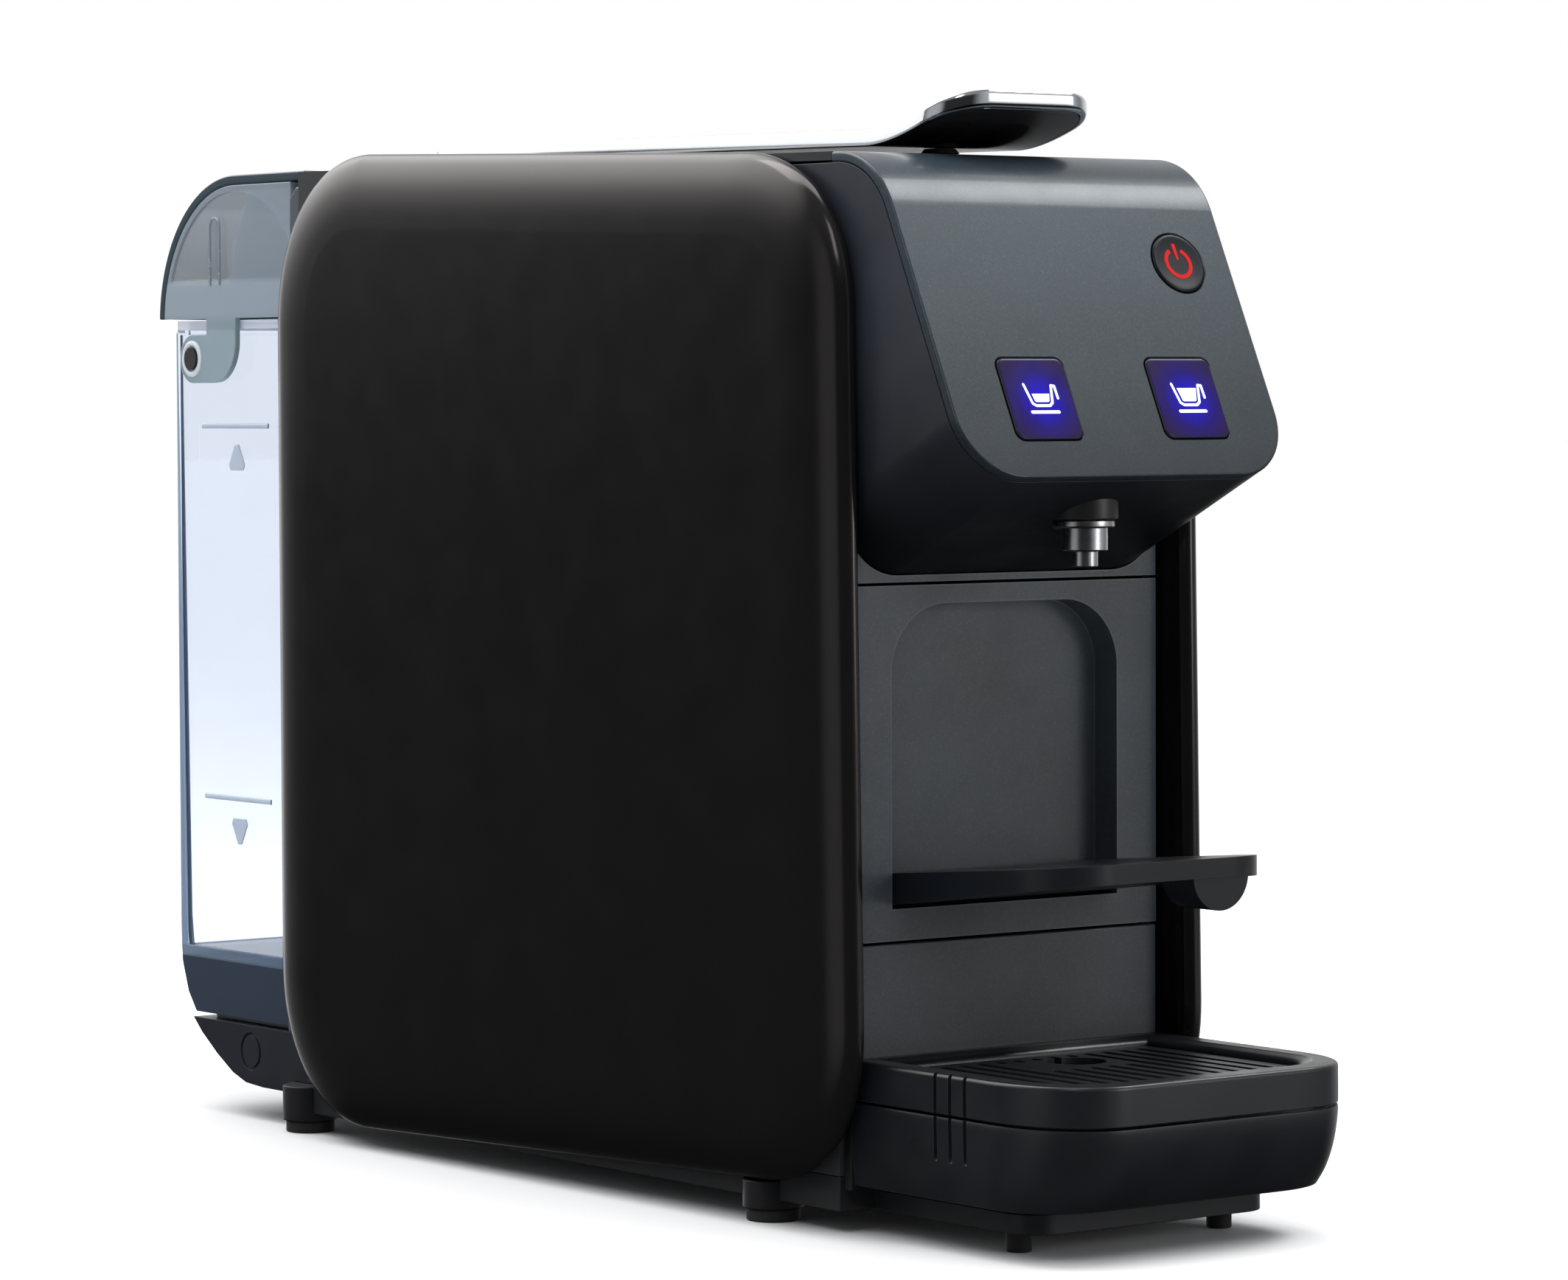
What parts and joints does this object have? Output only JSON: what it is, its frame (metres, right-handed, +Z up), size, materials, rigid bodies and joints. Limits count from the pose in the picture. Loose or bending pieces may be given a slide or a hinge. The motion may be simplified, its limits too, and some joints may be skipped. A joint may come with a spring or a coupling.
{
  "type": "pod coffee machine",
  "caption": "Slim pod coffee machine with pillow side panels, tilted control face, lever, fold-up cup shelf, drip tray and a lift-off rear water tank with a hinged lid.",
  "frame": {"origin": "centre of the bounding box in plan, on the surface that the feet stand on", "axes": "+X to the machine's left-hand viewer's right as seen from the front, +Y to the rear, +Z up"},
  "size_m": [0.12, 0.4142, 0.2824],
  "materials": {
    "panel": "satin black, soft edge",
    "frame": "moulded grey",
    "base": "fine moulded grain",
    "rear_base": "satin blue black",
    "plinth": "satin slate",
    "back_cover": "fine moulded grain",
    "top_cover": "fine moulded grain",
    "head_shell": "satin black",
    "front_cover": "charcoal with fine sparkle",
    "wall": "fine moulded grain",
    "collar": "satin black",
    "spout": "satin",
    "lever_skin": "polished",
    "lever_carrier": "satin black",
    "steel": "machined",
    "rubber": "matt",
    "sheet_steel": "zinc plated",
    "brew_chamber": "glass filled nylon",
    "carriage": "glass filled nylon",
    "inner_black": "moulded",
    "shelf": "satin black",
    "tray": "semi gloss black",
    "grille": "satin black",
    "power_button": "satin black with red ring mark",
    "brew_button": "lit blue with white cup mark",
    "board": "solder mask",
    "tank": "clear blue tint",
    "lid_strip": "satin slate",
    "lid_shell": "smoky translucent",
    "white_part": "moulded",
    "pump": "coil and brass body",
    "cast_aluminium": "die cast",
    "hose": "silicone",
    "foot": "satin black"
  },
  "bodies": {
    "root": {"left_panel": "panel", "right_panel": "panel", "left_frame": "frame", "right_frame": "frame", "base_plate": "base", "rear_base": "rear_base", "tank_plinth": "plinth", "back_cover": "back_cover", "top_cover": "top_cover", "head_shell": "head_shell", "front_cover": "front_cover", "upper_wall": "wall", "lower_wall": "wall", "bin_deck": "frame", "outlet_collar": "collar", "coffee_spout": "spout", "lever_axle": "steel", "brew_frame": "sheet_steel", "brew_chamber": "brew_chamber", "chamber_seal": "rubber", "injection_needles": "steel", "coffee_funnel": "inner_black", "capsule_chute": "inner_black", "button_board": "board", "tank_socket": "rubber", "pump": "pump", "pump_mounts": "rubber", "flow_meter": "white_part", "thermoblock": "cast_aluminium", "control_board": "board", "water_hoses": "hose", "main_feet": "foot", "foot_pads": "rubber", "tray_feet": "rubber", "frame_screws": "steel", "cord_gland": "rubber"},
    "lever": {"lever_skin": "lever_skin", "lever_carrier": "lever_carrier", "crank_pin": "steel", "lever_bumper": "rubber"},
    "clamp": {"clamp_carriage": "carriage", "outlet_plate": "steel", "guide_pins": "steel"},
    "bin": {"bin_door": "wall", "capsule_bin": "inner_black", "shelf_pin": "steel"},
    "shelf": {"cup_shelf": "shelf"},
    "tray": {"tray_bowl": "tray", "tray_frame": "tray"},
    "grille": {"drip_grille": "grille"},
    "power_button": {"power_button": "power_button"},
    "left_button": {"left_brew_button": "brew_button"},
    "right_button": {"right_brew_button": "brew_button"},
    "tank": {"water_tank": "tank", "lid_pins": "collar", "valve_cage": "white_part"},
    "lid": {"lid_strip": "lid_strip", "lid_shell": "lid_shell"},
    "valve": {"tank_valve": "white_part", "valve_spring": "steel"}
  },
  "joints": [
    {"name": "lever_hinge", "type": "hinge", "parent": "root", "child": "lever", "pos_m": [0, 0.09735, 0.266], "axis": [-1, 0, 0], "range_deg": [0, 70]},
    {"name": "clamp_slide", "type": "slide", "parent": "root", "child": "clamp", "axis": [0, -1, 0], "range_m": [0, 0.02983]},
    {"name": "bin_slide", "type": "slide", "parent": "root", "child": "bin", "axis": [0, -1, 0], "range_m": [0, 0.1]},
    {"name": "shelf_hinge", "type": "hinge", "parent": "bin", "child": "shelf", "pos_m": [0, -0.12075, 0.0846], "axis": [-1, 0, 0], "range_deg": [0, 85]},
    {"name": "tray_slide", "type": "slide", "parent": "root", "child": "tray", "axis": [0, -1, 0], "range_m": [0, 0.09]},
    {"name": "grille_lift", "type": "slide", "parent": "tray", "child": "grille", "axis": [0, 0, 1], "range_m": [0, 0.03]},
    {"name": "power_press", "type": "slide", "parent": "root", "child": "power_button", "axis": [0, 0.9041, -0.4274], "range_m": [0, 0.0008], "stiffness_N_per_m": 600},
    {"name": "left_press", "type": "slide", "parent": "root", "child": "left_button", "axis": [0, 0.9041, -0.4274], "range_m": [0, 0.0008], "stiffness_N_per_m": 600},
    {"name": "right_press", "type": "slide", "parent": "root", "child": "right_button", "axis": [0, 0.9041, -0.4274], "range_m": [0, 0.0008], "stiffness_N_per_m": 600},
    {"name": "tank_lift", "type": "slide", "parent": "root", "child": "tank", "axis": [0, 0, 1], "range_m": [0, 0.1]},
    {"name": "lid_hinge", "type": "hinge", "parent": "tank", "child": "lid", "pos_m": [0, 0.18855, 0.218], "axis": [-1, 0, 0], "range_deg": [0, 60]},
    {"name": "valve_lift", "type": "slide", "parent": "tank", "child": "valve", "axis": [0, 0, 1], "range_m": [0, 0.003], "stiffness_N_per_m": 200, "deforming": ["valve_spring"]}
  ],
  "couplings": [
    {"joint": "clamp_slide", "follows": "lever_hinge", "m_per_rad": 0.024413}
  ]
}
